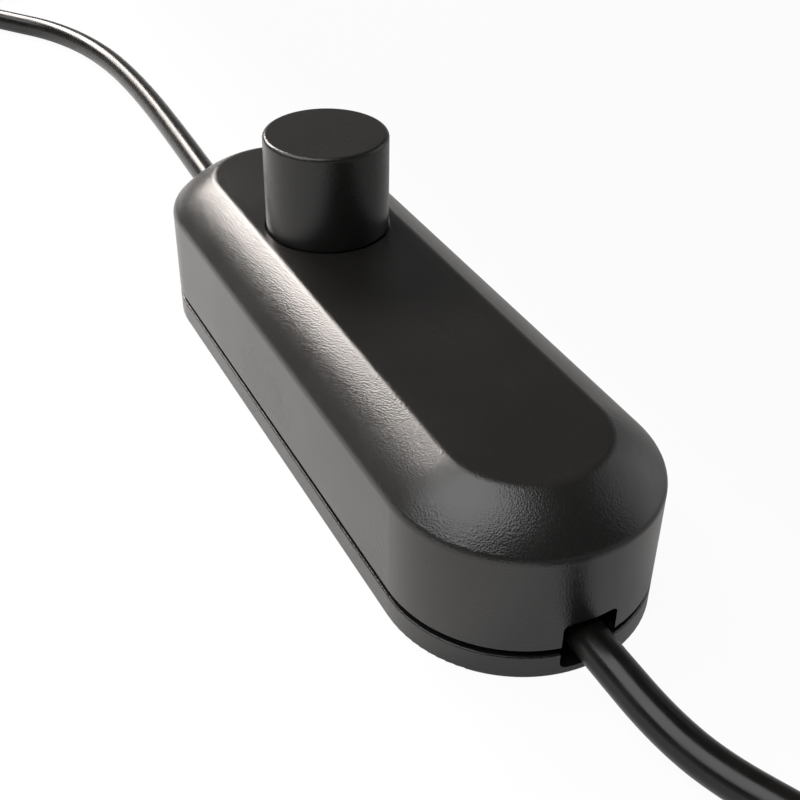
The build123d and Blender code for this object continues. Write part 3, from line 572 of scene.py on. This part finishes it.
def lamp_hank(radius):
    """The lamp lead's turns: once round on the floor, then up and on itself."""
    left, right = LAMP_FOLDS
    low, high = radius, 3 * radius

    def column(t):
        return LAMP_COLUMN

    points = side_points((LAMP_FAR_SIDE_X,), left.y + LAMP_COLUMN, low, LAMP_TIE_X, -1)
    points += fold_points(right, 1, column, lambda t: low)
    points += side_points((LAMP_NEAR_SIDE_X,), left.y - LAMP_COLUMN, low, LAMP_TIE_X, 1)
    points += fold_points(left, -1, column, lambda t: low + 2 * radius * ease(t))
    points += side_points((LAMP_FAR_SIDE_X,), left.y + LAMP_COLUMN, high, LAMP_TIE_X, -1)
    points += fold_points(right, 1, column, lambda t: high)
    points += side_points((LAMP_TIE_X,), left.y - LAMP_COLUMN, high, LAMP_TIE_X, 1)
    return points + [(LAMP_SHEATH_X, left.y - LAMP_COLUMN, high)]


def lead(name, points, settings, material):
    """A lead's sheath: one smooth spline with a round section."""
    curve = bpy.data.curves.new(name, "CURVE")
    curve.dimensions = "3D"
    spline = curve.splines.new("NURBS")
    spline.points.add(len(points) - 1)
    for control, point in zip(spline.points, points):
        control.co = (*point, 1)
    spline.order_u = 3
    spline.use_endpoint_u = True
    spline.resolution_u = 8
    curve.bevel_depth = settings.diameter / 2
    curve.bevel_resolution = settings.round_faces
    curve.use_fill_caps = True
    curve.materials.append(material)
    piece = bpy.data.objects.new(name, curve)
    bpy.context.scene.collection.objects.link(piece)
    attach(piece, "housing")
    return piece


class DIMMER_OT_supply_lead(bpy.types.Operator):
    """Makes the lead from the wall plug, with its folded length"""

    bl_idname = "dimmer.supply_lead"
    bl_label = "Supply lead"

    def execute(self, context):
        settings = context.scene.dimmer_leads
        points = SUPPLY_ROUTE + supply_hank(settings.diameter / 2) + SUPPLY_TAIL_ROUTE
        sheath = context.scene.dimmer_finish.sheath_colour
        pvc = soft_pvc("soft PVC sheath", sheath)
        piece = lead("supply_lead", points, settings, pvc)
        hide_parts("supply_cord", "supply_cord_hank", "supply_cord_tail")
        return {"FINISHED"}


class DIMMER_OT_lamp_lead(bpy.types.Operator):
    """Makes the lead to the lamp, with its folded length"""

    bl_idname = "dimmer.lamp_lead"
    bl_label = "Lamp lead"

    def execute(self, context):
        settings = context.scene.dimmer_leads
        points = LAMP_ROUTE + lamp_hank(settings.diameter / 2)
        sheath = context.scene.dimmer_finish.sheath_colour
        pvc = soft_pvc("soft PVC sheath of the lamp lead", sheath)
        piece = lead("lamp_lead", points, settings, pvc)
        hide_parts("lamp_cord", "lamp_cord_hank")
        return {"FINISHED"}


def strap(x, half_width, height, centre_y):
    """Strap round a hank: an open band with rounded corners, which gets its thickness later."""
    mesh = bmesh.new()
    left, right = centre_y - half_width, centre_y + half_width
    outline = ((left, 0), (right, 0), (right, height), (left, height))
    loop = [mesh.verts.new((x - TIE_WIDTH / 2, y, z)) for y, z in outline]
    edges = [mesh.edges.new((loop[k], loop[(k + 1) % 4])) for k in range(4)]
    made = bmesh.ops.extrude_edge_only(mesh, edges=edges)
    moved = [part for part in made["geom"] if isinstance(part, bmesh.types.BMVert)]
    bmesh.ops.translate(mesh, verts=moved, vec=(TIE_WIDTH, 0, 0))
    corners = [
        edge
        for edge in mesh.edges
        if abs(edge.verts[0].co.x - edge.verts[1].co.x) > TIE_WIDTH / 2
    ]
    bmesh.ops.bevel(
        mesh,
        geom=corners,
        offset=TIE_CORNER,
        segments=6,
        profile=0.5,
        affect="EDGES",
        material=-1,
    )
    bmesh.ops.recalc_face_normals(mesh, faces=mesh.faces[:])
    return mesh


class DIMMER_OT_ties(bpy.types.Operator):
    """Makes the straps that hold the folded leads"""

    bl_idname = "dimmer.ties"
    bl_label = "Ties"

    def execute(self, context):
        settings = context.scene.dimmer_leads
        height = 2 * settings.diameter + 2 * TIE_THICK
        weave = woven_strap("woven nylon strap", linear("#1c1b1b"))
        for name, node, x, reach, centre in (
            ("supply_strap", "supply_cord_tie", SUPPLY_TIE_X, OUTER_COLUMN, SUPPLY_FOLDS[0].y),
            ("lamp_strap", "lamp_cord_tie", LAMP_TIE_X, LAMP_COLUMN, LAMP_FOLDS[0].y),
        ):
            mesh = strap(x, reach + settings.diameter / 2, height, centre)
            piece = new_piece(name, mesh, weave, node)
            wall = piece.modifiers.new("thickness", "SOLIDIFY")
            wall.thickness = TIE_THICK
            wall.offset = -1.0
        return {"FINISHED"}


class DIMMER_OT_case(bpy.types.Operator):
    """Gives the two halves of the case their moulded finish"""

    bl_idname = "dimmer.case"
    bl_label = "Case"

    def execute(self, context):
        finish = context.scene.dimmer_finish
        plastic = eroded_plastic("spark-eroded black ABS", finish.case_colour, finish.grain)
        dress(plastic, "upper_housing", "lower_cover")
        return {"FINISHED"}


class DIMMER_OT_knob(bpy.types.Operator):
    """Gives the knob its finish"""

    bl_idname = "dimmer.knob"
    bl_label = "Knob"

    def execute(self, context):
        finish = context.scene.dimmer_finish
        plastic = eroded_plastic(
            "finely eroded black ABS",
            finish.knob_colour,
            grain=finish.grain * 0.8,
            roughness=0.26,
            ior=1.46,
            depth=0.00002,
        )
        dress(plastic, "knob")
        return {"FINISHED"}


class DIMMER_OT_plug(bpy.types.Operator):
    """Finishes the wall plug and its pins"""

    bl_idname = "dimmer.plug"
    bl_label = "Plug"

    def execute(self, context):
        sheath = context.scene.dimmer_finish.sheath_colour
        moulded = soft_pvc("moulded PVC of the plug", sheath, roughness=0.42)
        dress(moulded, "plug_body", "pin_sleeves")
        dress(plated_metal("nickel-plated brass", linear("#cfccc4"), 0.16), "plug_pins")
        return {"FINISHED"}


class DIMMER_OT_wire_ends(bpy.types.Operator):
    """Finishes the cores and sleeves at the lamp lead's end and inside the case"""

    bl_idname = "dimmer.wire_ends"
    bl_label = "Wire ends"

    def execute(self, context):
        for node in ("lamp_wires", "supply_cores", "lamp_cores"):
            dress(core_pair("PVC insulation of " + node, node), node)
        dress(plated_metal("tinned copper sleeve", linear("#c8c6c0"), 0.3), "wire_ferrules")
        return {"FINISHED"}


class DIMMER_OT_fasteners(bpy.types.Operator):
    """Finishes the screws and the encoder's metal parts"""

    bl_idname = "dimmer.fasteners"
    bl_label = "Fasteners"

    def execute(self, context):
        zinc = plated_metal("bright zinc plate", linear("#b9bcc2"), 0.3)
        dress(zinc, "case_screws", "board_screws", "clamp_screws", "terminal_screws")
        nickel = plated_metal("dull nickel plate", linear("#bdb9b0"), 0.34)
        dress(nickel, "encoder_bushing", "encoder_washer", "encoder_nut", "encoder_shaft")
        return {"FINISHED"}


class DIMMER_OT_dome(bpy.types.Operator):
    """Makes the push switch's sprung dome, which flattens under the plunger"""

    bl_idname = "dimmer.dome"
    bl_label = "Switch dome"

    def execute(self, context):
        mesh = bmesh.new()
        mesh.from_mesh(NODES["switch_dome"].data)
        bmesh.ops.remove_doubles(mesh, verts=mesh.verts[:], dist=0.000001)
        steel = plated_metal("spring steel", linear("#d3cfc4"), 0.2)
        piece = new_piece("contact_dome", mesh, steel, "switch_dome")
        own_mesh(piece)
        return {"FINISHED"}


class DIMMER_OT_boards(bpy.types.Operator):
    """Finishes the boards and the parts on them"""

    bl_idname = "dimmer.boards"
    bl_label = "Boards"

    def execute(self, context):
        dress(laminate("green board laminate", linear("#1f5a35")), "power_board", "control_board")
        dress(laminate("blue board laminate", linear("#1d3563")), "radio_module")
        nylon = plain_moulding("moulded dark nylon", linear("#2a2a2c"), 0.5)
        dress(nylon, "encoder_body", "switch_plunger", "board_spacers", "header_strip")
        dress(nylon, "supply_cord_clamp", "lamp_cord_clamp")
        dress(plated_metal("tinned sheet", linear("#c3c3bf"), 0.28), "radio_shield")
        dress(plated_metal("gold-flashed pins", linear("#d9b65a"), 0.2), "header_pins")
        green = plain_moulding("green terminal nylon", linear("#2f7a4c"), 0.35)
        dress(green, "supply_terminal", "lamp_terminal")
        dress(plain_moulding("dark fuse cap", linear("#2b2321"), 0.3), "fuse")
        dress(plain_moulding("dipped blue epoxy", linear("#23468c"), 0.28, 0.0012), "varistor")
        dress(plain_moulding("grey film-capacitor box", linear("#b7b6b0"), 0.45), "film_capacitor")
        sleeve = plain_moulding("shrunk can sleeve", linear("#222a3c"), 0.25)
        dress(sleeve, "electrolytic_capacitor")
        dress(plain_moulding("sintered ferrite", linear("#3a3a3c"), 0.6, 0.0003), "choke_drum")
        dress(wound_wire("enamelled copper wire", linear("#b5693a")), "choke_winding")
        epoxy = plain_moulding("dull black epoxy", linear("#1d1d1e"), 0.55)
        dress(epoxy, "power_transistor", "power_module")
        dress(plated_metal("milled aluminium", linear("#c9cacc"), 0.35), "heat_spreader")
        return {"FINISHED"}


def heading(azimuth, elevation):
    """Unit vector at an azimuth and an elevation, in radians."""
    return Vector((cos(azimuth) * cos(elevation), sin(azimuth) * cos(elevation), sin(elevation)))


def make_camera():
    """Camera at the photograph's place, angle and field of view."""
    forward = heading(CAMERA_YAW, -CAMERA_PITCH)
    level = Vector((sin(CAMERA_YAW), -cos(CAMERA_YAW), 0))
    upright = level.cross(forward)
    right = cos(CAMERA_ROLL) * level + sin(CAMERA_ROLL) * upright
    up = cos(CAMERA_ROLL) * upright - sin(CAMERA_ROLL) * level
    data = bpy.data.cameras.new("camera")
    data.lens = CAMERA_LENS
    data.sensor_width = SENSOR_WIDTH
    data.clip_start = 0.01
    camera = bpy.data.objects.new("camera", data)
    turn = Matrix((right, up, -forward)).transposed().to_4x4()
    camera.matrix_world = Matrix.Translation(CAMERA_PLACE) @ turn
    bpy.context.scene.collection.objects.link(camera)
    bpy.context.scene.camera = camera


def soft_box(name, azimuth, elevation, distance, size, power, colour=(1, 1, 1)):
    """Square area light that faces the middle of the case, at angles in degrees."""
    direction = heading(radians(azimuth), radians(elevation))
    data = bpy.data.lights.new(name, "AREA")
    data.shape = "SQUARE"
    data.size = size
    data.energy = power
    data.color = colour
    light = bpy.data.objects.new(name, data)
    light.location = direction * distance
    light.rotation_mode = "QUATERNION"
    light.rotation_quaternion = direction.to_track_quat("Z", "Y")
    bpy.context.scene.collection.objects.link(light)


def paper_floor():
    """White paper sweep: seen as white, mirrored as white with painted shade towards -Y, and with
    the object's soft shadow on it.
    """
    material = bpy.data.materials.new("white paper")
    tree = empty_tree(material)
    place = add_node(tree, "ShaderNodeTexCoord").outputs["Object"]
    across = add_node(tree, "ShaderNodeSeparateXYZ", links={0: place}).outputs["Y"]
    ends = dict(zip(("From Min", "From Max", "To Min", "To Max"), PAPER_SHADE_EDGES + PAPER_SHADE_TONES))
    # Painted shade: the paper's colour gets darker towards -Y
    tone = add_node(tree, "ShaderNodeMapRange", ends, {"Value": across}).outputs["Result"]
    paper = add_node(tree, "ShaderNodeBsdfDiffuse", links={"Color": tone})
    white = add_node(tree, "ShaderNodeEmission", {"Color": (1, 1, 1, 1), "Strength": 1.0})
    path = add_node(tree, "ShaderNodeLightPath").outputs
    # Gloss mirrors less white where the tone is darker, so the painted shade also shows in
    # reflections
    glossy = add_node(
        tree, "ShaderNodeMath", links={0: path["Is Glossy Ray"], 1: tone}, operation="MULTIPLY"
    )
    mirrored = add_node(
        tree,
        "ShaderNodeMath",
        {1: PAPER_WHITE_MIRRORED},
        {0: glossy.outputs[0]},
        operation="MULTIPLY",
    )
    seen = add_node(
        tree,
        "ShaderNodeMath",
        {1: PAPER_WHITE_SEEN},
        {0: path["Is Camera Ray"]},
        operation="MULTIPLY",
    )
    share = add_node(
        tree,
        "ShaderNodeMath",
        links={0: seen.outputs[0], 1: mirrored.outputs[0]},
        operation="MAXIMUM",
    )
    mixed = add_node(
        tree,
        "ShaderNodeMixShader",
        links={0: share.outputs[0], 1: paper.outputs[0], 2: white.outputs[0]},
    )
    add_node(tree, "ShaderNodeOutputMaterial", links={"Surface": mixed.outputs[0]})
    return material


def make_world():
    """Studio round the floor: white to the camera, and its light paler near the horizon."""
    world = bpy.data.worlds.new("studio")
    bpy.context.scene.world = world
    tree = empty_tree(world)
    direction = add_node(tree, "ShaderNodeTexCoord").outputs["Generated"]
    height = add_node(tree, "ShaderNodeSeparateXYZ", links={0: direction}).outputs["Z"]
    ramp = add_node(tree, "ShaderNodeValToRGB", links={"Fac": height})
    for element, (position, grey) in zip(ramp.color_ramp.elements, STUDIO_LIGHT):
        element.position = position
        element.color = (grey, grey, grey, 1)
    light = add_node(
        tree, "ShaderNodeBackground", {"Strength": 1.0}, {"Color": ramp.outputs["Color"]}
    )
    white = add_node(tree, "ShaderNodeBackground", {"Color": (1, 1, 1, 1), "Strength": 1.0})
    seen = add_node(tree, "ShaderNodeLightPath").outputs["Is Camera Ray"]
    mixed = add_node(
        tree, "ShaderNodeMixShader", links={0: seen, 1: light.outputs[0], 2: white.outputs[0]}
    )
    add_node(tree, "ShaderNodeOutputWorld", links={"Surface": mixed.outputs[0]})


class DIMMER_OT_stage(bpy.types.Operator):
    """Makes the floor, the lights and the camera"""

    bl_idname = "dimmer.stage"
    bl_label = "Stage"

    def execute(self, context):
        settings = context.scene.dimmer_stage
        context.scene.view_settings.view_transform = "Standard"
        mesh = bmesh.new()
        bmesh.ops.create_grid(mesh, x_segments=1, y_segments=1, size=settings.floor_size / 2)
        data = bpy.data.meshes.new("floor")
        mesh.to_mesh(data)
        mesh.free()
        floor = bpy.data.objects.new("floor", data)
        context.scene.collection.objects.link(floor)
        data.materials.append(paper_floor())
        soft_box(
            "back light",
            azimuth=9,
            elevation=33,
            distance=1.2,
            size=0.46,
            power=settings.back_light,
            colour=(1.0, 0.93, 0.88),
        )
        soft_box(
            "top light",
            azimuth=78,
            elevation=62,
            distance=1.4,
            size=1.35,
            power=settings.top_light,
        )
        soft_box(
            "side light",
            azimuth=-95,
            elevation=22,
            distance=1.3,
            size=1.0,
            power=settings.side_light,
        )
        make_world()
        make_camera()
        return {"FINISHED"}


STEPS = (
    DIMMER_OT_case,
    DIMMER_OT_knob,
    DIMMER_OT_fasteners,
    DIMMER_OT_dome,
    DIMMER_OT_boards,
    DIMMER_OT_plug,
    DIMMER_OT_wire_ends,
    DIMMER_OT_ties,
    DIMMER_OT_supply_lead,
    DIMMER_OT_lamp_lead,
    DIMMER_OT_stage,
)


class DIMMER_PT_panel(bpy.types.Panel):
    """Lists the steps that dress the dimmer"""

    bl_idname = "DIMMER_PT_panel"
    bl_label = "In-line lamp dimmer"
    bl_space_type = "VIEW_3D"
    bl_region_type = "UI"
    bl_category = "Dimmer"

    def draw(self, context):
        for step in STEPS:
            self.layout.operator(step.bl_idname)


CLASSES = (StageSettings, LeadSettings, FinishSettings, *STEPS, DIMMER_PT_panel)


def register():
    for item in CLASSES:
        bpy.utils.register_class(item)
    bpy.types.Scene.dimmer_stage = PointerProperty(type=StageSettings)
    bpy.types.Scene.dimmer_leads = PointerProperty(type=LeadSettings)
    bpy.types.Scene.dimmer_finish = PointerProperty(type=FinishSettings)


def unregister():
    del bpy.types.Scene.dimmer_finish
    del bpy.types.Scene.dimmer_leads
    del bpy.types.Scene.dimmer_stage
    for item in reversed(CLASSES):
        bpy.utils.unregister_class(item)


def main():
    register()
    bpy.ops.dimmer.case()
    bpy.ops.dimmer.knob()
    bpy.ops.dimmer.fasteners()
    bpy.ops.dimmer.dome()
    bpy.ops.dimmer.boards()
    bpy.ops.dimmer.plug()
    bpy.ops.dimmer.wire_ends()
    bpy.ops.dimmer.ties()
    bpy.ops.dimmer.supply_lead()
    bpy.ops.dimmer.lamp_lead()
    bpy.ops.dimmer.stage()


if __name__ == "__main__":
    main()
